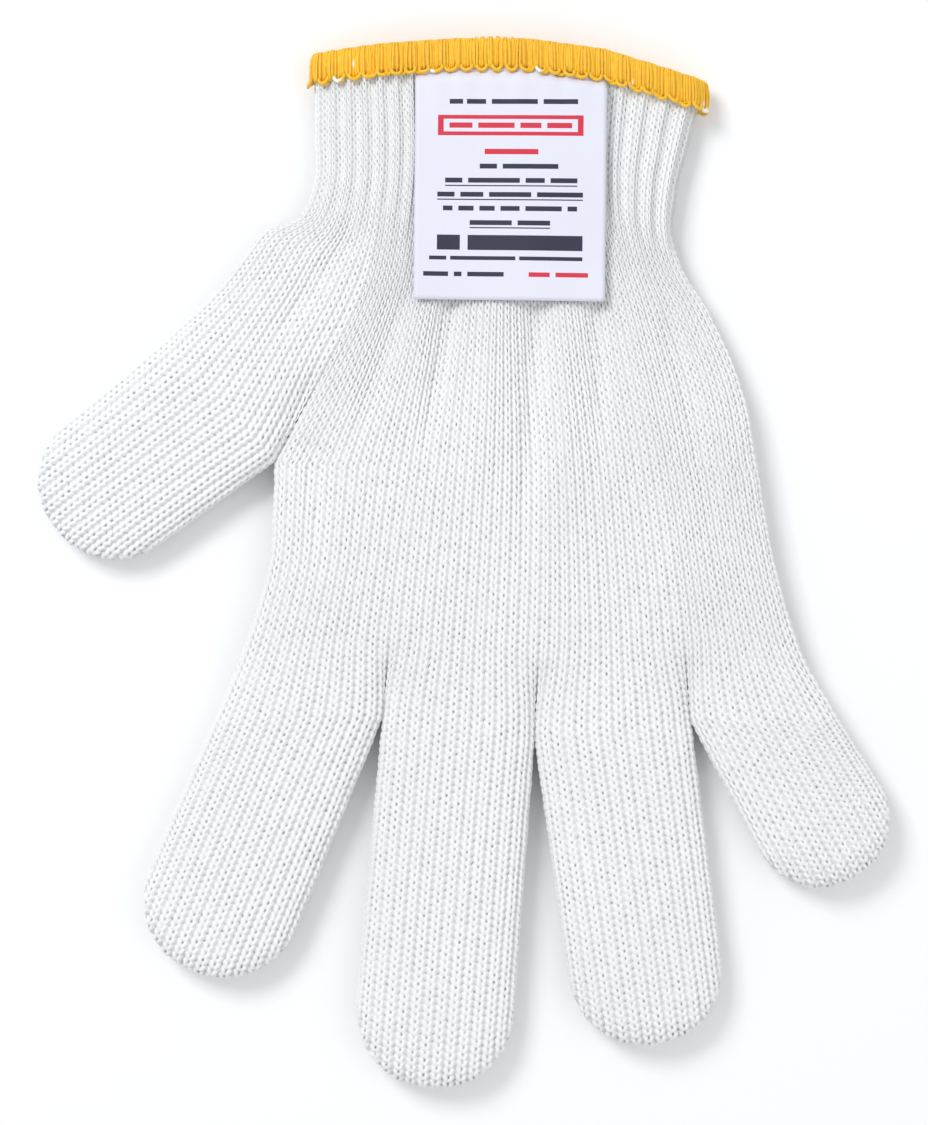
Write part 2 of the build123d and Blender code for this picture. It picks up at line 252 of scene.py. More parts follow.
def strip_faces(lines, rows, courses, shares):
    """Front and back faces of neighbouring strips, with their wales and courses."""
    count = len(lines) - 1
    columns = WALES * COLUMNS
    fronts, backs = [], []
    row_sides = [through(line, courses) for line in lines]
    widths = sum(np.linalg.norm(b - a, axis=1) for a, b in zip(row_sides, row_sides[1:]))
    step = np.linspace(0, 1, columns + 1)
    for strip in range(count):
        left, right = row_sides[strip], row_sides[strip + 1]
        plan = np.zeros((len(courses), columns + 1, 2))
        lift = np.zeros((len(courses), columns + 1))
        for row in range(len(courses)):
            height = rows[row] / 2
            across = np.zeros(columns + 1)
            up = np.zeros(columns + 1)
            for weight, first, total in shares(strip, courses[row]):
                if weight <= 0:
                    continue
                part = (first + step) / total
                half = widths[row] / 2 if total > 1 else np.linalg.norm(right[row] - left[row]) / 2
                x, z = flat_section(part, half, height)
                across += weight * (x - x[0]) / (x[-1] - x[0])
                up += weight * z
            plan[row] = left[row] + (right[row] - left[row]) * across[:, None]
            lift[row] = up * height
        middle = (rows / 2 + FLOOR_GAP)[:, None]
        folds = fold_height(plan[:, :, 0], plan[:, :, 1]) * np.clip(lift / 4.0, 0, 1)
        front = np.dstack([plan, middle + lift + folds * np.clip(rows[:, None] - 9.0, 0.3, 1.0)])
        back = np.dstack([plan, middle - lift])
        fronts.append(front if strip == 0 else front[:, 1:])
        backs.append(back if strip == 0 else back[:, 1:])
    wale = np.tile(np.arange(count * columns + 1) / COLUMNS, (len(courses), 1))
    course = np.tile(courses[:, None], (1, wale.shape[1]))
    return np.concatenate(fronts, 1), np.concatenate(backs, 1), wale, course


def upper_shares(strip, course):
    """How a strip's section is shared between the whole hand, the palm and a digit alone."""
    apart = smooth(course, THUMB_COURSE - 14, THUMB_COURSE)
    if strip == 0:
        return [(1 - apart, 0, 5), (apart, 0, 1)]
    return [(1 - apart, strip, 5), (apart, strip - 1, 4)]


def lower_shares(strip, course):
    """The same below the thumb, where the fingers part one by one."""
    apart = smooth(course, CROTCH_COURSE - 11, CROTCH_COURSE)
    return [(1 - apart, strip, 4), (apart, 0, 1)]


def upper_tube():
    """Cuff and five finger palm, from the edge of the cuff to the thumb's crotch."""
    courses = np.arange(0, THUMB_COURSE * ROWS + 1) / ROWS
    lines = [THUMB_SIDE, THUMB_INDEX, INDEX_MIDDLE, MIDDLE_RING, RING_LITTLE, LITTLE_SIDE]
    front, back, wale, course = strip_faces(lines, thickness(courses), courses, upper_shares)
    ribbing = np.tile((1 - smooth(courses, 17, 27))[:, None], (1, wale.shape[1]))
    return Tube(front, back, wale, course, ribbing)


def lower_tube():
    """Four finger palm, from the thumb's crotch to the crotches of the fingers."""
    courses = THUMB_COURSE + np.arange(0, (CROTCH_COURSE - THUMB_COURSE) * ROWS + 1) / ROWS
    lines = [INDEX_SIDE, INDEX_MIDDLE, MIDDLE_RING, RING_LITTLE, LITTLE_SIDE]
    front, back, wale, course = strip_faces(lines, thickness(courses), courses, lower_shares)
    return Tube(front, back, wale + WALES, course, np.zeros_like(wale))


def digit_tube(name, left, right, first_course, first_wale, root_height):
    """One finger or thumb: straight sides from its root, then a round closed tip."""
    x, y, radius, bends = TIPS[name]
    centre = np.array([x, y])
    root = (np.array(left) + np.array(right)) / 2
    axis = (centre - root) / np.linalg.norm(centre - root)
    side = np.array([-axis[1], axis[0]])
    if np.dot(np.array(right) - np.array(left), side) < 0:
        side = -side
    touch_left, touch_right = centre - side * radius, centre + side * radius
    straight = (np.linalg.norm(touch_left - left) + np.linalg.norm(touch_right - right)) / 2
    straight_rows = int(round(straight / COURSE_PITCH)) * ROWS
    tip_rows = int(round(radius * np.pi / 2 / COURSE_PITCH)) * ROWS
    share = np.arange(straight_rows + 1)[:, None] / straight_rows
    lefts = [left + (touch_left - left) * share]
    rights = [right + (touch_right - right) * share]
    angle = np.linspace(0, np.pi / 2, tip_rows + 1)[1:, None]
    cap = centre + axis * radius * np.sin(angle)
    lefts.append(cap - side * radius * np.cos(angle) ** 0.92)
    rights.append(cap + side * radius * np.cos(angle) ** 0.92)
    lefts, rights = np.concatenate(lefts), np.concatenate(rights)
    reach = np.concatenate([share[:, 0] * straight, straight + radius * np.sin(angle[:, 0])])
    from_tip = straight + radius - reach
    close = np.clip(1 - from_tip / TIP_ROUNDING, 0, 1)
    full_height = root_height + (DIGIT_HEIGHT - root_height) * smooth(reach, 0, 14)
    height = full_height * (1 - close ** TIP_POWER) ** (1 / TIP_POWER)
    middle = full_height / 2 + FLOOR_GAP
    columns = WALES * COLUMNS
    step = np.linspace(0, 1, columns + 1)
    count = len(reach)
    plan = np.zeros((count, columns + 1, 2))
    lift = np.zeros((count, columns + 1))
    wale = np.zeros((count, columns + 1))
    full = flat_section(step, radius, DIGIT_HEIGHT / 2)[0] * radius
    for row in range(count):
        half = max(np.linalg.norm(rights[row] - lefts[row]) / 2, 1e-4)
        across, up = flat_section(step, half, max(height[row] / 2, 1e-4))
        plan[row] = lefts[row] + (rights[row] - lefts[row]) * ((across + 1) / 2)[:, None]
        lift[row] = up * height[row] / 2
        wale[row] = step * WALES
        if row > straight_rows:
            settle = smooth(row, straight_rows, straight_rows + 2 * ROWS)
            parallel = np.interp(across * half, full, step * WALES)
            wale[row] = wale[row] * (1 - settle) + parallel * settle
    soft = 0.16 * np.sin(plan[:, :, 0] * 0.33 + plan[:, :, 1] * 0.17) * np.clip(lift / 4.0, 0, 1)
    front = np.dstack([plan, middle[:, None] + lift + soft])
    back = np.dstack([plan, middle[:, None] - lift])
    course = np.tile((first_course + reach / COURSE_PITCH)[:, None], (1, columns + 1))
    tube = Tube(front, back, wale + first_wale, course, np.zeros_like(wale))
    tube.reach = reach
    tube.root = root
    tube.axis = axis
    return tube


# ---- meshes ---------------------------------------------------------------------------------
def grid_mesh(mesh_bm, points, wales, courses, uv_layer, closed=False):
    """Adds a grid in the shape of rows of points, with the stitch count as its UV map."""
    if closed:
        points = np.concatenate([points, points[:, :1]], 1)
        wales = np.concatenate([wales, wales[:, -1:] + 1.0 / COLUMNS], 1)
        courses = np.concatenate([courses, courses[:, :1]], 1)
    rows, columns = points.shape[:2]
    made = bmesh.ops.create_grid(mesh_bm, x_segments=columns - 1, y_segments=rows - 1, size=1.0)
    flat = (points * MM).reshape(-1, 3)
    stitches = np.stack([wales, courses], 2).reshape(-1, 2)
    for vert, place in zip(made["verts"], flat):
        vert.co = place
    number = {vert: index for index, vert in enumerate(made["verts"])}
    faces = {face for vert in made["verts"] for face in vert.link_faces}
    for face in faces:
        for loop in face.loops:
            loop[uv_layer].uv = stitches[number[loop.vert]]


def finish_piece(name, mesh_bm, material):
    """Turns a finished bmesh into a smooth object with one material."""
    for face in mesh_bm.faces:
        face.smooth = True
    mesh = bpy.data.meshes.new(name)
    mesh_bm.to_mesh(mesh)
    mesh_bm.free()
    mesh.materials.append(material)
    piece = bpy.data.objects.new(name, mesh)
    bpy.context.scene.collection.objects.link(piece)
    return piece


def knit_piece(name, parts, outward=True):
    """One piece of knit from parts of tubes: (points, wales, courses, closed)."""
    mesh_bm = bmesh.new()
    uv_layer = mesh_bm.loops.layers.uv.new("stitches")
    for points, wales, courses, closed in parts:
        grid_mesh(mesh_bm, points, wales, courses, uv_layer, closed)
    bmesh.ops.remove_doubles(mesh_bm, verts=mesh_bm.verts, dist=2e-6)
    if outward:
        bmesh.ops.reverse_faces(mesh_bm, faces=mesh_bm.faces[:])
    return finish_piece(name, mesh_bm, knit_material())


def face_part(tube, rows, columns, back=False):
    """The part of a tube's front or back face between two rows and two columns."""
    low, high = columns
    if back:
        index = (2 * tube.width - np.arange(low, high + 1)) % tube.points.shape[1]
    else:
        index = np.arange(low, high + 1)
    take = np.ix_(range(rows[0], rows[1] + 1), index)
    points = tube.points[take]
    wales = tube.wales[take]
    courses = tube.courses[take]
    if back:
        return points[:, ::-1], wales[:, ::-1], courses[:, ::-1], False
    return points, wales, courses, False


def ring_part(tube, low, high):
    """A whole ring of a tube between two rows."""
    return tube.points[low:high + 1], tube.wales[low:high + 1], tube.courses[low:high + 1], True


KNIT = {}


def knit_tubes():
    """All tubes of the glove, worked out once."""
    if KNIT:
        return KNIT
    KNIT["upper"] = upper_tube()
    KNIT["lower"] = lower_tube()
    close_crotch(KNIT["upper"], WALES * COLUMNS)
    for strip in (1, 2, 3):
        close_crotch(KNIT["lower"], strip * WALES * COLUMNS)
    meet(KNIT["lower"], KNIT["upper"], WALES * COLUMNS)
    end = float(thickness(CROTCH_COURSE))
    lines = [INDEX_SIDE, INDEX_MIDDLE, MIDDLE_RING, RING_LITTLE, LITTLE_SIDE]
    for number, name in enumerate(FINGERS):
        KNIT[name] = digit_tube(name, lines[number][-1][1:], lines[number + 1][-1][1:],
                                CROTCH_COURSE, WALES * (number + 1), end)
        meet(KNIT[name], KNIT["lower"], number * WALES * COLUMNS)
    KNIT["thumb"] = digit_tube("thumb", THUMB_SIDE[-1][1:], THUMB_INDEX[-1][1:], THUMB_COURSE, 0,
                               float(thickness(THUMB_COURSE)))
    meet(KNIT["thumb"], KNIT["upper"], 0)
    return KNIT


def close_crotch(tube, column):
    """Brings both layers together where two digits part at the end of a tube."""
    back = (tube.points.shape[1] - column) % tube.points.shape[1]
    middle = (tube.points[-1, column] + tube.points[-1, back]) / 2
    tube.points[-1, column] = middle
    tube.points[-1, back] = middle


def meet(tube, before, first):
    """Starts a tube on the last row of the tube it grows from, so that no gap is left."""
    around = np.arange(tube.width + 1)
    other = before.points.shape[1]
    front = before.points[-1, first + around]
    back = before.points[-1, (other - first - around) % other]
    tube.points[0] = np.concatenate([front, back[::-1][1:-1]])


def row_at(tube, distance):
    """The row of a digit that lies at a distance from its root, at a whole course."""
    return int(np.argmin(np.abs(tube.reach - distance)))


def span_along(tube, row):
    """The least and greatest distance of a ring from the root, along the digit's middle line."""
    distance = (tube.points[row, :, :2] - tube.root) @ tube.axis
    return distance.min(), distance.max()


# ---- materials ------------------------------------------------------------------------------
def new_material(name, **values):
    """A material with its Principled shader and constant socket values."""
    material = bpy.data.materials.new(name)
    material.use_nodes = True
    shader = material.node_tree.nodes["Principled BSDF"]
    for socket, value in values.items():
        shader.inputs[socket.replace("_", " ")].default_value = value
    return material, material.node_tree, shader


def add(tree, kind, **settings):
    """A new node with its settings."""
    node = tree.nodes.new(kind)
    for key, value in settings.items():
        setattr(node, key, value)
    return node


def maths(tree, operation, *values):
    """A maths node fed with numbers or sockets. Gives its output socket."""
    node = add(tree, "ShaderNodeMath", operation=operation)
    for index, value in enumerate(values):
        if isinstance(value, (int, float)):
            node.inputs[index].default_value = value
        else:
            tree.links.new(value, node.inputs[index])
    return node.outputs[0]


def blend_colours(tree, share, first, second):
    """A mix of two colours by a share."""
    node = add(tree, "ShaderNodeMix", data_type="RGBA")
    for index, value in ((0, share), (6, first), (7, second)):
        if isinstance(value, (tuple, float, int)):
            node.inputs[index].default_value = value
        else:
            tree.links.new(value, node.inputs[index])
    return node.outputs[2]


def distance(tree, value, centre):
    """How far a value lies from a centre."""
    return maths(tree, "ABSOLUTE", maths(tree, "SUBTRACT", value, centre))


def over_zero(tree, value):
    """A value, or nought where it is less."""
    return maths(tree, "MAXIMUM", value, 0.0)


def hump(tree, off, reach):
    """1 where a distance is nought, falling evenly to 0 at its reach."""
    return over_zero(tree, maths(tree, "SUBTRACT", 1.0, maths(tree, "DIVIDE", off, reach)))


def noise(tree, place, scale, detail=None):
    """A noise texture over a place, with the scale in turns for each metre."""
    node = add(tree, "ShaderNodeTexNoise")
    node.inputs["Scale"].default_value = scale
    if detail is not None:
        node.inputs["Detail"].default_value = detail
    tree.links.new(place, node.inputs["Vector"])
    return node.outputs[0]


def bump(tree, shader, height, strength, depth):
    """Bumps the surface by a height, to a depth in metres."""
    node = add(tree, "ShaderNodeBump")
    node.inputs["Strength"].default_value = strength
    node.inputs["Distance"].default_value = depth
    tree.links.new(height, node.inputs["Height"])
    tree.links.new(node.outputs[0], shader.inputs["Normal"])


def stitch_group():
    """A node group that reads the stitch count and gives yarn height, pits and twist."""
    found = bpy.data.node_groups.get("knit_stitches")
    if found:
        return found
    group = bpy.data.node_groups.new("knit_stitches", "ShaderNodeTree")
    group.interface.new_socket("Stitches", in_out="INPUT", socket_type="NodeSocketVector")
    for name in ("Height", "Pit"):
        group.interface.new_socket(name, in_out="OUTPUT", socket_type="NodeSocketFloat")
    enter = add(group, "NodeGroupInput")
    leave = add(group, "NodeGroupOutput")
    split = add(group, "ShaderNodeSeparateXYZ")
    group.links.new(enter.outputs[0], split.inputs[0])
    wale = split.outputs[0]
    lag = maths(group, "SINE", maths(group, "MULTIPLY", maths(group, "FLOOR", wale), 2.4))
    course = maths(group, "ADD", split.outputs[1], maths(group, "MULTIPLY", lag, 0.12))
    u = maths(group, "FRACT", wale)
    v = maths(group, "FRACT", course)
    from_middle = distance(group, u, 0.5)
    from_edge = maths(group, "SUBTRACT", 0.5, from_middle)
    near = maths(group, "ADD", maths(group, "MULTIPLY", v, 0.20), 0.195)
    off = maths(group, "DIVIDE", maths(group, "SUBTRACT", from_edge, near), 0.21)
    leg = over_zero(group, maths(group, "SUBTRACT", 1.0, maths(group, "MULTIPLY", off, off)))
    leg = maths(group, "POWER", leg, 0.5)
    across = maths(group, "MULTIPLY", off, 0.55)
    turns = maths(group, "ADD", maths(group, "MULTIPLY", course, 4.0), across)
    twist = maths(group, "SINE", maths(group, "MULTIPLY", turns, TURN))
    ply = maths(group, "MULTIPLY", maths(group, "MULTIPLY", twist, 0.13), leg)
    height = maths(group, "ADD", leg, ply)
    pits = [maths(group, "MULTIPLY", hump(group, aside, PIT_WIDTH),
                  hump(group, distance(group, v, low), PIT_LENGTH))
            for aside, low in ((from_middle, 0.30), (from_edge, 0.80))]
    pit = maths(group, "MAXIMUM", *pits)
    group.links.new(height, leave.inputs[0])
    group.links.new(pit, leave.inputs[1])
    return group


def knit_material():
    """White cut resistant yarn, plain knitted, with painted shade in the valleys and pinholes
    between the stitches.
    """
    found = bpy.data.materials.get("white_knit")
    if found:
        return found
    material, tree, shader = new_material("white_knit", Roughness=0.62, Sheen_Weight=0.25,
                                          Sheen_Roughness=0.4, Specular_IOR_Level=0.35)
    uv = add(tree, "ShaderNodeUVMap", uv_map="stitches")
    stitches = add(tree, "ShaderNodeGroup", node_tree=stitch_group())
    tree.links.new(uv.outputs[0], stitches.inputs[0])
    where = add(tree, "ShaderNodeTexCoord")
    cloud = noise(tree, where.outputs["Object"], 420.0, 3.0)
    broad = noise(tree, where.outputs["Object"], 38.0)
    tone = blend_colours(tree, broad, (0.88, 0.895, 0.905, 1), (0.955, 0.955, 0.935, 1))
    # Painted shade: the valleys between the yarn legs are darkened towards a cool grey, the more the
    # lower the yarn lies there.
    painted_valley_shade = maths(tree, "SUBTRACT", 1.0, stitches.outputs["Height"])
    painted_valley_shade = maths(tree, "MULTIPLY", maths(tree, "POWER", over_zero(tree, painted_valley_shade), 2.0), 0.26)
    tone = blend_colours(tree, painted_valley_shade, tone, (0.50, 0.53, 0.57, 1))
    # Painted shade: the pinholes between the stitches are coloured near black for the shade inside
    # the glove seen through them, deeper in some than in others.
    uneven = maths(tree, "MULTIPLY", maths(tree, "SUBTRACT", cloud, 0.28), 2.6)
    painted_pinhole_shade = maths(tree, "MULTIPLY", stitches.outputs["Pit"], over_zero(tree, uneven))
    painted_pinhole_shade = maths(tree, "MINIMUM", maths(tree, "MULTIPLY", painted_pinhole_shade, 1.1), 0.85)
    tone = blend_colours(tree, painted_pinhole_shade, tone, (0.09, 0.10, 0.12, 1))
    tree.links.new(tone, shader.inputs["Base Color"])
    fibres = maths(tree, "MULTIPLY", cloud, 0.25)
    bump(tree, shader, maths(tree, "ADD", stitches.outputs["Height"], fibres), 0.55, 0.0004)
    return material


def thread_material():
    """Golden yellow overlock thread, with a few strands of the white knitting yarn."""
    found = bpy.data.materials.get("yellow_thread")
    if found:
        return found
    material, tree, shader = new_material("yellow_thread", Roughness=0.55, Sheen_Weight=0.2,
                                          Sheen_Roughness=0.4)
    where = add(tree, "ShaderNodeTexCoord")
    strands = noise(tree, where.outputs["Object"], 900.0)
    broad = noise(tree, where.outputs["Object"], 90.0)
    tone = blend_colours(tree, strands, (0.93, 0.46, 0.010, 1), (1.0, 0.68, 0.03, 1))
    tone = blend_colours(tree, maths(tree, "MULTIPLY", broad, 0.35), tone, (0.72, 0.30, 0.01, 1))
    white = add(tree, "ShaderNodeAttribute", attribute_name="white_yarn")
    tone = blend_colours(tree, white.outputs["Fac"], tone, (0.90, 0.90, 0.84, 1))
    tree.links.new(tone, shader.inputs["Base Color"])
    bump(tree, shader, strands, 0.5, 0.0003)
    return material


# Lines of print on the label, as plain bars in place of words: height of the line on the label,
# thickness, ink, and the start and end of each bar, all in shares of the label.
DARK, RED, PAPER = (0.012, 0.014, 0.045, 1), (0.66, 0.015, 0.045, 1), (0.77, 0.76, 0.86, 1)
PRINT = [
    (0.933, 0.014, DARK, ((0.73, 0.91),)),
    (0.816, 0.020, DARK, ((0.18, 0.25), (0.27, 0.37), (0.40, 0.64), (0.67, 0.85))),
    (0.718, 0.084, RED, ((0.12, 0.88),)), (0.718, 0.052, PAPER, ((0.15, 0.85),)),
    (0.718, 0.022, RED, ((0.18, 0.30), (0.33, 0.52), (0.55, 0.66), (0.69, 0.82))),
    (0.610, 0.022, RED, ((0.365, 0.645),)),
    (0.550, 0.020, DARK, ((0.34, 0.43), (0.46, 0.75))),
    (0.492, 0.020, DARK, ((0.16, 0.25), (0.28, 0.55), (0.58, 0.68), (0.71, 0.85))),
    (0.470, 0.005, DARK, ((0.16, 0.85),)),
    (0.434, 0.020, DARK, ((0.12, 0.21), (0.24, 0.36), (0.39, 0.61), (0.64, 0.88))),
    (0.413, 0.005, DARK, ((0.12, 0.88),)),
    (0.377, 0.020, DARK, ((0.15, 0.20), (0.23, 0.31), (0.34, 0.42), (0.45, 0.55), (0.58, 0.77),
                          (0.80, 0.85))),
    (0.318, 0.020, DARK, ((0.29, 0.51), (0.54, 0.71))), (0.297, 0.005, DARK, ((0.29, 0.71),)),
    (0.236, 0.062, DARK, ((0.12, 0.24), (0.28, 0.88))),
    (0.172, 0.016, DARK, ((0.08, 0.17), (0.19, 0.53), (0.55, 0.88))),
    (0.106, 0.019, DARK, ((0.05, 0.18), (0.21, 0.25), (0.28, 0.47))),
    (0.106, 0.019, RED, ((0.60, 0.71), (0.74, 0.91))),
]


def label_material():
    """Satin tape with a fine weave and plain printed bars."""
    material, tree, shader = new_material("label_satin", Roughness=0.42, Sheen_Weight=0.15,
                                          Specular_IOR_Level=0.5)
    uv = add(tree, "ShaderNodeUVMap", uv_map="label")
    split = add(tree, "ShaderNodeSeparateXYZ")
    tree.links.new(uv.outputs[0], split.inputs[0])
    across, up = split.outputs[0], split.outputs[1]
    warp = maths(tree, "SINE", maths(tree, "MULTIPLY", across, TURN * WARP_THREADS))
    weft = maths(tree, "SINE", maths(tree, "MULTIPLY", up, TURN * WEFT_THREADS))
    crossing = maths(tree, "MULTIPLY", warp, weft)
    weave = maths(tree, "ADD", maths(tree, "MULTIPLY", crossing, 0.5), 0.5)
    tone = blend_colours(tree, weave, (0.70, 0.69, 0.80, 1), (0.83, 0.82, 0.91, 1))
    where = add(tree, "ShaderNodeTexCoord")
    patchy = noise(tree, where.outputs["Object"], 2600.0)
    for line, height, ink, bars in PRINT:
        on_line = maths(tree, "LESS_THAN", distance(tree, up, line), height / 2)
        for start, end in bars:
            off_bar = distance(tree, across, (start + end) / 2)
            on_bar = maths(tree, "LESS_THAN", off_bar, (end - start) / 2)
            tone = blend_colours(tree, maths(tree, "MULTIPLY", on_line, on_bar), tone, ink)
    tree.links.new(tone, shader.inputs["Base Color"])
    height = maths(tree, "ADD", weave, maths(tree, "MULTIPLY", patchy, 0.4))
    bump(tree, shader, height, 0.35, 0.00012)
    return material


# ---- settings -------------------------------------------------------------------------------
class GLOVE_PG_sizes(bpy.types.PropertyGroup):
    """Sizes that a user would change."""
    thread_radius: bpy.props.FloatProperty(name="Thread",
                                           description="Radius of one overlock thread",
                                           default=0.00031, unit="LENGTH")
    label_width: bpy.props.FloatProperty(name="Label Width", description="Width of the label",
                                         default=0.0416, unit="LENGTH")
    floor_colour: bpy.props.FloatVectorProperty(name="Floor", description="Colour of the floor",
                                                default=(0.93, 0.93, 0.93), subtype="COLOR")


# ---- pieces ---------------------------------------------------------------------------------
class GLOVE_OT_cuff(bpy.types.Operator):
    """Knit the ribbed cuff, with its lining, and the wrist"""
    bl_idname = "glove.cuff"
    bl_label = "Cuff and Wrist"

    def execute(self, context):
        tube = knit_tubes()["upper"]
        low, high = (course * ROWS for course in WRIST_COURSES)
        all_columns = (0, tube.width)
        thumb_columns = (0, WALES * COLUMNS)
        palm_columns = (WALES * COLUMNS, tube.width)
        front = knit_piece("cuff_knit_upper_face", [face_part(tube, (0, low), all_columns)])
        back = knit_piece("cuff_knit_lower_face", [face_part(tube, (0, low), all_columns, True)])
        for piece in (front, back):
            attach(piece, "cuff")
        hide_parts("cuff_rib_knit", "cuff_elastic_yarns")
        parts = [face_part(tube, (low, high), palm_columns, side) for side in (False, True)]
        parts += [face_part(tube, (low, THUMB_COURSE * ROWS), thumb_columns, side)
                  for side in (False, True)]
        wrist = knit_piece("wrist_knit_whole", parts)
        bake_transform(wrist)
        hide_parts("wrist_knit", "five_finger_palm_knit")
        lining = [grid[:low + 1:ROWS, ::4] for grid in (tube.lining, tube.wales, tube.courses)]
        inside = knit_piece("cuff_knit_inside", [(*lining, True)], outward=False)
        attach(inside, "cuff")
        return {"FINISHED"}


class GLOVE_OT_palm(bpy.types.Operator):
    """Knit both faces of the palm"""
    bl_idname = "glove.palm"
    bl_label = "Palm"

    def execute(self, context):
        upper, lower = knit_tubes()["upper"], knit_tubes()["lower"]
        knuckle = (KNUCKLE_COURSE - THUMB_COURSE) * ROWS
        for name, back in (("palm_knit_upper_face", False), ("palm_knit_lower_face", True)):
            parts = [face_part(upper, (WRIST_COURSES[1] * ROWS, THUMB_COURSE * ROWS),
                               (WALES * COLUMNS, upper.width), back),
                     face_part(lower, (0, knuckle), (0, lower.width), back)]
            piece = knit_piece(name, parts)
            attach(piece, "hand")
            if not back:
                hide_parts("four_finger_palm_knit")
        return {"FINISHED"}


class GLOVE_OT_digits(bpy.types.Operator):
    """Knit the four fingers and the thumb, each in pieces split between its creases"""
    bl_idname = "glove.digits"
    bl_label = "Fingers and Thumb"

    def execute(self, context):
        lower = knit_tubes()["lower"]
        knuckle = (KNUCKLE_COURSE - THUMB_COURSE) * ROWS
        for number, name in enumerate(FINGERS + ("thumb",)):
            tube = knit_tubes()[name]
            bends = TIPS[name][3]
            bodies = ["hand"] + [f"{name}_{part}" for part in
                                 (("base", "middle", "tip") if len(bends) == 2 else ("base", "tip"))]
            cuts = [BASE_CUT * bends[0]]
            if len(bends) == 2:
                cuts.append((bends[0] + bends[1]) / 2)
            rows = [0] + [row_at(tube, cut) for cut in cuts] + [len(tube.reach) - 1]
            parts = []
            if name != "thumb":
                columns = (number * WALES * COLUMNS, (number + 1) * WALES * COLUMNS)
                end = lower.points.shape[0] - 1
                parts = [face_part(lower, (knuckle, end), columns, side) for side in (False, True)]
            for index in range(len(bodies) - 1):
                parts.append(ring_part(tube, rows[index], rows[index + 1]))
                piece = knit_piece(f"{bodies[index + 1]}_knit_whole", parts)
                parts = []
                near, far = ROOT_START, bends[-1] + BEND_REACH
                if index > 0:
                    near = span_along(tube, rows[index])[1] + ROW_GAP
                if index < len(bodies) - 2:
                    far = span_along(tube, rows[index + 1])[0] - ROW_GAP
                start, end = (tube.root + tube.axis * reach for reach in (near, far))
                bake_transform(piece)
                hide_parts(f"{bodies[index + 1]}_knit")
        return {"FINISHED"}


def mouth_loop():
    """The closed line of the cuff's edge, and the distance along it at each point."""
    tube = knit_tubes()["upper"]
    points = tube.lining[0] + (tube.points[0] - tube.lining[0]) * 0.5
    run = np.linalg.norm(np.diff(np.vstack([points, points[:1]]), axis=0), axis=1)
    return points, np.concatenate([[0], np.cumsum(run)])


def at_mouth(points, run, reach):
    """A place on the mouth's loop, the direction out of the cuff's wall and the loop's own."""
    closed = np.vstack([points, points[:1]])
    place, ahead, behind = (
        np.array([np.interp(where % run[-1], run, closed[:, axis]) for axis in range(3)])
        for where in (reach, reach + NEAR_MOUTH, reach - NEAR_MOUTH))
    tangent = (ahead - behind) / np.linalg.norm(ahead - behind)
    outward = np.cross(tangent, ALONG)
    return place, outward / np.linalg.norm(outward), tangent


def strand_rows(path, radius):
    """Rings of points around a path, as rows for a grid."""
    ahead = np.gradient(path, axis=0)
    ahead /= np.linalg.norm(ahead, axis=1, keepdims=True)
    guide = np.array([0.31, 0.17, 0.93])
    first = np.cross(ahead, guide)
    first /= np.linalg.norm(first, axis=1, keepdims=True)
    second = np.cross(ahead, first)
    angle = np.linspace(0, TURN, STRAND_SIDES, endpoint=False)[None, :, None]
    ring = np.cos(angle) * first[:, None, :] + np.sin(angle) * second[:, None, :]
    return path[:, None, :] + ring * radius


def wrap_path(points, run, reach, draw):
    """One strand of the loopers: up the outside, over the mouth and down the inside."""
    place, out, tangent = at_mouth(points, run, reach)
    lean = draw.uniform(-0.15, 0.15)
    drop = OUTSIDE_DROP + draw.uniform(-0.25, 0.25)
    front = [(EDGE_DEPTH + 0.28 * np.sin(np.pi * t), -0.2 - drop * (1 - t), lean * (1 - t))
             for t in np.linspace(0, 0.9, 6)]
    turn = [(EDGE_DEPTH * np.cos(a), CROWN * np.sin(a) - 0.2, 0) for a in np.linspace(0, np.pi, 9)]
    rear = [(-1.2, -0.2 - INSIDE_DROP * t, 0) for t in (0.3, 0.65, 1.0)]
    return np.array([place + out * a + ALONG * b + tangent * c
                     for a, b, c in front + turn + rear])


def border_path(points, run, reach, pitch):
    """One scallop of the needle thread along the lower side of the edging."""
    place, out, tangent = at_mouth(points, run, reach)
    return np.array([place + out * (1.5 + 0.45 * np.sin(a)) - tangent * pitch * 0.52 * np.cos(a)
                     - ALONG * (5.2 + 0.85 * np.sin(a))
                     for a in np.linspace(-0.15, 1.15, 11) * np.pi])


def lap_path(points, x, draw):
    """One loose turn of the lap, highest in the middle of it."""
    place = points[int(np.argmin(np.hypot(points[:, 0] - x, (points[:, 2] - 1.0) * 4)))]
    rise = 0.9 * np.sin(np.pi * (x - LAP[0]) / (LAP[1] - LAP[0])) + draw.uniform(-0.12, 0.12)
    return np.array([place + np.array([draw.uniform(-0.1, 0.1), (1.1 + rise) * np.sin(a) + 0.6,
                                       1.5 * np.cos(a) + 1.0])
                     for a in np.linspace(-0.3, 1.3, 9) * np.pi])


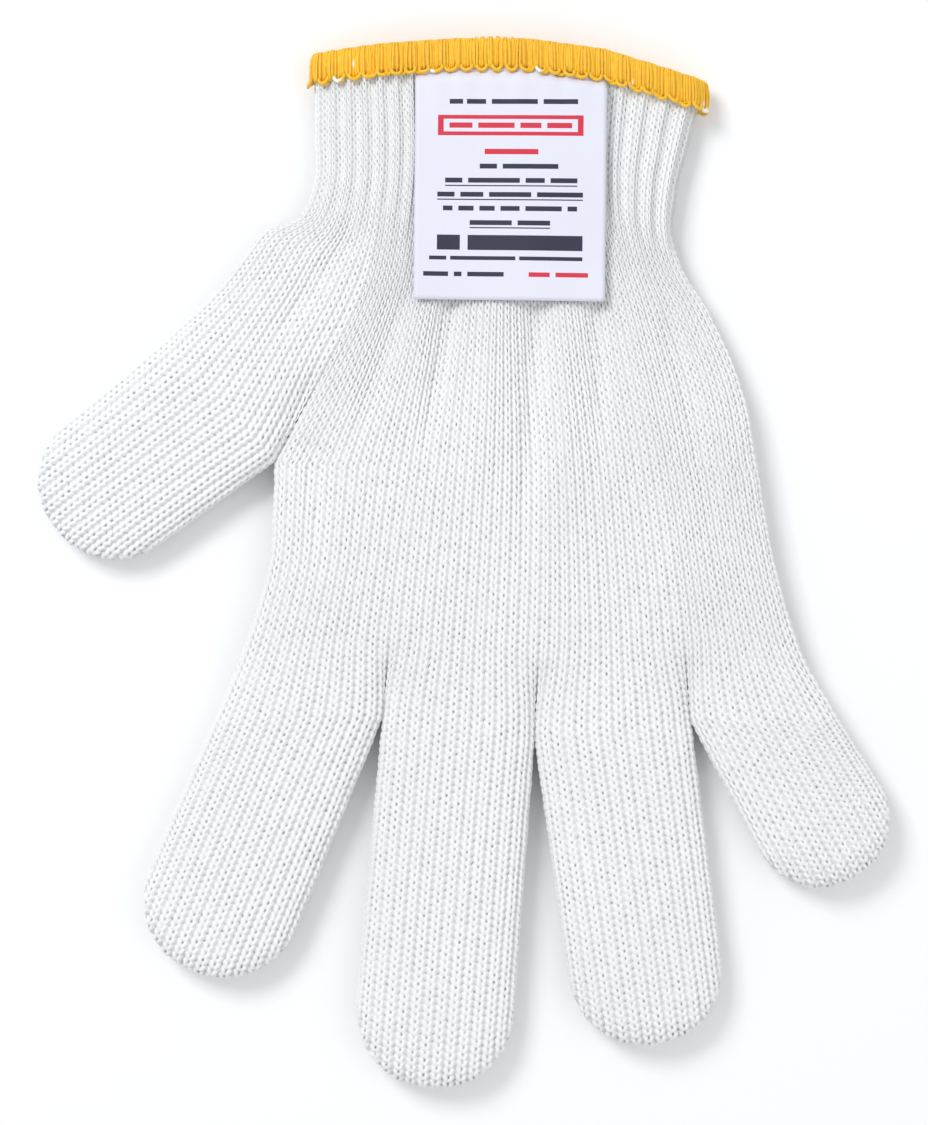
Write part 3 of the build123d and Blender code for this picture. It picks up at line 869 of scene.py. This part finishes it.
class GLOVE_OT_edging(bpy.types.Operator):
    """Wrap the overlocked edge with its looper threads, needle thread and lap"""
    bl_idname = "glove.edging"
    bl_label = "Overlocked Edge"

    def execute(self, context):
        points, run = mouth_loop()
        radius = context.scene.glove_sizes.thread_radius / MM
        draw = np.random.default_rng(7)
        count = round(run[-1] / LOOP_PITCH)
        pitch = run[-1] / count
        outer, inner, border = [], [], []
        for number in range(count):
            for strand in range(STRANDS):
                reach = (number + (strand + 0.5) / STRANDS) * pitch + draw.uniform(-0.06, 0.06)
                path = wrap_path(points, run, reach, draw)
                thick = radius * draw.uniform(0.9, 1.12)
                outer.append((path[:12], thick))
                inner.append((path[11:], thick * 0.9))
            border.append((border_path(points, run, (number + 0.5) * pitch, pitch), radius * 1.3))
        lap = [(lap_path(points, x, draw), radius * 1.15) for x in np.arange(*LAP, LAP_STEP)]
        made = (("overlock_outer_loops", outer, "overlock_upper_looper_thread"),
                ("overlock_inner_loops", inner, "overlock_lower_looper_thread"),
                ("overlock_border_loops", border, "overlock_needle_thread"),
                ("overlock_lap_loops", lap, "overlock_lap"))
        for name, strands, node in made:
            roll = edge_roll(points, run) if strands is outer else None
            piece = thread_piece(name, strands, draw, roll)
            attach(piece, "cuff")
            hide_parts(node)
        return {"FINISHED"}


def edge_roll(points, run):
    """The closely wound thread under the loops, as rings of points along the mouth."""
    section = [(1.3, -5.0), (1.42, -3.4), (1.42, -1.8)]
    section += [(1.3 * np.cos(a), CROWN * np.sin(a) - 0.3) for a in np.linspace(0, np.pi, 9)]
    section += [(-1.25, -2.0), (-1.2, -4.4)]
    section += [(-0.85, -4.4), (-0.85, -0.6), (0.85, -0.6), (0.85, -5.0)]
    rings = []
    for reach in np.linspace(0, run[-1], 301):
        place, out, _ = at_mouth(points, run, reach)
        rings.append([place + out * a + ALONG * b for a, b in section])
    rings[-1] = rings[0]
    return np.array(rings)


def add_strand(mesh_bm, rows, uv_layer):
    """Adds rings of points as a closed strand, which needs no stitch count."""
    blank = np.zeros(rows.shape[:2])
    grid_mesh(mesh_bm, rows, blank, blank, uv_layer, closed=True)


def thread_piece(name, strands, draw, roll=None):
    """One piece of many short thread loops, with white specks where the yarn shows through."""
    mesh_bm = bmesh.new()
    uv_layer = mesh_bm.loops.layers.uv.new("stitches")
    white = mesh_bm.verts.layers.float.new("white_yarn")
    for path, radius in strands:
        seen = len(mesh_bm.verts)
        add_strand(mesh_bm, strand_rows(path, radius), uv_layer)
        at_end = path[0][0] < MOUTH_ENDS[0] or path[0][0] > MOUTH_ENDS[1]
        if draw.uniform() < SPECK_SHARES[0 if at_end else 1]:
            speck = path[draw.integers(1, 6)] * MM
            mesh_bm.verts.ensure_lookup_table()
            for vert in mesh_bm.verts[seen:]:
                near = (vert.co.x - speck[0]) ** 2 + (vert.co.y - speck[1]) ** 2
                vert[white] = 1.0 if near < (SPECK * MM) ** 2 else 0.0
    if roll is not None:
        add_strand(mesh_bm, roll, uv_layer)
    bmesh.ops.remove_doubles(mesh_bm, verts=mesh_bm.verts, dist=1e-7)
    bmesh.ops.holes_fill(mesh_bm, edges=[edge for edge in mesh_bm.edges if edge.is_boundary])
    bmesh.ops.recalc_face_normals(mesh_bm, faces=mesh_bm.faces[:])
    for vert in mesh_bm.verts:
        vert.co.z = max(vert.co.z, CLEARANCE * MM)
    return finish_piece(name, mesh_bm, thread_material())


class GLOVE_OT_label(bpy.types.Operator):
    """Sew in the satin label, free on three sides"""
    bl_idname = "glove.label"
    bl_label = "Label"

    def execute(self, context):
        low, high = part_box("label")
        width = context.scene.glove_sizes.label_width
        centre = (low.x + high.x) / 2
        edge = mouth_loop()[0][:knit_tubes()["upper"].width + 1]
        top = high.y + LABEL_RISE
        length = top - low.y
        mesh_bm = bmesh.new()
        uv_layer = mesh_bm.loops.layers.uv.new("label")
        made = bmesh.ops.create_grid(mesh_bm, x_segments=44, y_segments=54, size=0.5)
        for vert in made["verts"]:
            across, up = vert.co.x, vert.co.y
            for loop in vert.link_loops:
                loop[uv_layer].uv = (across + 0.5, up + 0.5)
            down = 0.5 - up
            x = centre + across * width
            y = top - length * down - 0.0006 * across * down
            edge_y, edge_z = (np.interp(x / MM, edge[:, 0], edge[:, axis]) * MM for axis in (1, 2))
            tuck = float(smooth(y - edge_y, *LABEL_TUCK))
            wave = 0.00022 * np.sin(across * 9 + 0.6) * down
            wave += 0.00010 * np.sin(up * 14 + across * 3)
            curl = 0.0007 * max(0.0, -up - 0.36) / 0.14 * (0.5 + across) ** 2
            pucker = 0.00016 * np.sin(across * 31) * np.sin(across * 12 + 1)
            pucker *= float(smooth(up, 0.18, 0.44))
            lying = low.z + LABEL_OVER_KNIT + wave + curl + pucker
            z = lying * (1 - tuck) + (edge_z + LABEL_IN_EDGING) * tuck
            vert.co = (x - 0.0005 * down, y, z)
        bmesh.ops.solidify(mesh_bm, geom=mesh_bm.faces[:], thickness=-LABEL_THICKNESS)
        bmesh.ops.recalc_face_normals(mesh_bm, faces=mesh_bm.faces[:])
        piece = finish_piece("sewn_label", mesh_bm, label_material())
        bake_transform(piece)
        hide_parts("label")
        return {"FINISHED"}


class GLOVE_OT_stage(bpy.types.Operator):
    """Set the pale floor, the soft lights and the camera"""
    bl_idname = "glove.stage"
    bl_label = "Stage"

    def execute(self, context):
        mesh_bm = bmesh.new()
        bmesh.ops.create_grid(mesh_bm, x_segments=1, y_segments=1, size=3.0)
        mesh = bpy.data.meshes.new("floor")
        mesh_bm.to_mesh(mesh)
        mesh_bm.free()
        tone = tuple(context.scene.glove_sizes.floor_colour) + (1,)
        mesh.materials.append(new_material("pale_floor", Base_Color=tone, Roughness=0.9)[0])
        floor = bpy.data.objects.new("floor", mesh)
        context.scene.collection.objects.link(floor)
        world = bpy.data.worlds.new("studio")
        context.scene.world = world
        world.use_nodes = True
        world.node_tree.nodes["Background"].inputs[0].default_value = (0.94, 0.97, 1.0, 1)
        world.node_tree.nodes["Background"].inputs[1].default_value = 0.72
        lights = (("key_light", (-0.55, 0.55, 0.9), (-32, -32), 6.6, 0.45),
                  ("fill_light", (0.7, -0.2, 0.9), (10, 40), 1.6, 0.8))
        for name, place, tilt, power, size in lights:
            data = bpy.data.lights.new(name, "AREA")
            data.energy = power
            data.size = size
            light = bpy.data.objects.new(name, data)
            light.location = place
            light.rotation_euler = (radians(tilt[0]), radians(tilt[1]), 0)
            context.scene.collection.objects.link(light)
        data = bpy.data.cameras.new("camera")
        data.lens = 100.0
        data.sensor_width = 36.0
        camera = bpy.data.objects.new("camera", data)
        camera.location = (0.0, 0.0, 0.690)
        context.scene.collection.objects.link(camera)
        context.scene.camera = camera
        context.scene.view_settings.view_transform = "Standard"
        return {"FINISHED"}


STEPS = ("stage", "cuff", "palm", "digits", "edging", "label")


class GLOVE_PT_panel(bpy.types.Panel):
    """Lists the pieces of the glove"""
    bl_idname = "GLOVE_PT_panel"
    bl_label = "Knitted Glove"
    bl_space_type = "VIEW_3D"
    bl_region_type = "UI"
    bl_category = "Glove"

    def draw(self, context):
        for name in ("thread_radius", "label_width", "floor_colour"):
            self.layout.prop(context.scene.glove_sizes, name)
        for step in STEPS:
            self.layout.operator(f"glove.{step}")


CLASSES = (GLOVE_PG_sizes, GLOVE_OT_stage, GLOVE_OT_cuff, GLOVE_OT_palm, GLOVE_OT_digits,
           GLOVE_OT_edging, GLOVE_OT_label, GLOVE_PT_panel)


def register():
    """Adds the classes and the glove's sizes to the scene."""
    for item in CLASSES:
        bpy.utils.register_class(item)
    bpy.types.Scene.glove_sizes = bpy.props.PointerProperty(type=GLOVE_PG_sizes)


def unregister():
    """Takes them away again."""
    del bpy.types.Scene.glove_sizes
    for item in reversed(CLASSES):
        bpy.utils.unregister_class(item)


def main():
    """Builds the glove."""
    register()
    for step in STEPS:
        getattr(bpy.ops.glove, step)()


if __name__ == "__main__":
    main()
